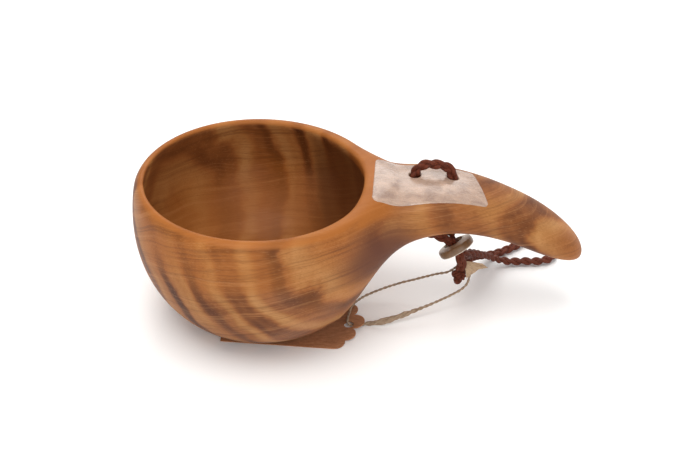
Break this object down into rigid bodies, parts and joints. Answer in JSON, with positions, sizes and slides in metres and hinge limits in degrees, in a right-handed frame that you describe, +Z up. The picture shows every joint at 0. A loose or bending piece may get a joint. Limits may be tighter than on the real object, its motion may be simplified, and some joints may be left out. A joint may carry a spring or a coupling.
{
  "type": "wooden drinking cup",
  "caption": "Carved wooden drinking cup with a long curved handle, flush antler inlay, leather carrying loop with antler ring, and a card tag on a paper string.",
  "frame": {"origin": "on the table, under the centre of the bowl's outside", "axes": "+X along the handle towards its tip, +Z up through the bowl's mouth, +Y to the left when looking along the handle"},
  "size_m": [0.1826, 0.1012, 0.0707],
  "materials": {
    "wood": "satin",
    "antler": "polished",
    "antler_bark": "satin",
    "cord_leather": "matte",
    "twisted_paper": "matte",
    "kraft_card": "matte"
  },
  "bodies": {
    "cup": {"cup_body": "wood", "antler_inlay": "antler", "cord_bridge": "cord_leather", "lanyard_loop": "cord_leather", "lanyard_tail": "cord_leather", "lanyard_knot": "cord_leather", "tag_string": "twisted_paper", "string_wrap": "twisted_paper", "hang_tag": "kraft_card"},
    "ring": {"antler_ring": "antler_bark"}
  },
  "joints": [
    {"name": "ring_spin", "type": "hinge", "parent": "cup", "child": "ring", "pos_m": [0.0808, 0.0025, 0.0292], "axis": [-0.5371, 0.3356, 0.7738], "continuous": true}
  ]
}
